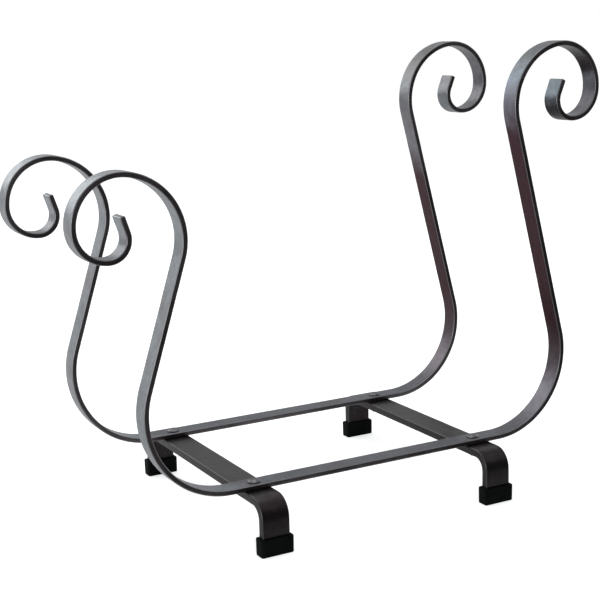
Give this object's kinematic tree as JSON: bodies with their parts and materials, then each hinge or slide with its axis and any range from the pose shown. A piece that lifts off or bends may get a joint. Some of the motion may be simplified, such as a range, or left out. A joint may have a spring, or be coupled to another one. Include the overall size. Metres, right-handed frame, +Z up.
{
  "type": "firewood log rack",
  "caption": "Free-standing firewood rack of bent flat bar: parallel open hoops with leaning sides and outward scrolls, taller at one end, bolted across foot bars with push-on caps.",
  "frame": {"origin": "on the floor, under the middle of the overall box", "axes": "+X along the hoops from the low end to the high end, +Y from front to back across the hoops, +Z up"},
  "size_m": [0.7022, 0.347, 0.56],
  "materials": {
    "hammered_steel": "hammered dark steel under clear lacquer, satin",
    "foot_steel": "dark brown-black lacquered steel, satin",
    "cap_rubber": "matte moulded black",
    "fastener_steel": "dark zinc-plated, satin"
  },
  "bodies": {
    "root": {"front_hoop": "hammered_steel", "rear_hoop": "hammered_steel", "left_foot_bar": "foot_steel", "right_foot_bar": "foot_steel", "front_left_foot_cap": "cap_rubber", "front_left_bolt": "fastener_steel", "front_left_washer": "fastener_steel", "front_left_nut": "fastener_steel", "front_right_foot_cap": "cap_rubber", "front_right_bolt": "fastener_steel", "front_right_washer": "fastener_steel", "front_right_nut": "fastener_steel", "rear_left_foot_cap": "cap_rubber", "rear_left_bolt": "fastener_steel", "rear_left_washer": "fastener_steel", "rear_left_nut": "fastener_steel", "rear_right_foot_cap": "cap_rubber", "rear_right_bolt": "fastener_steel", "rear_right_washer": "fastener_steel", "rear_right_nut": "fastener_steel"}
  },
  "joints": []
}
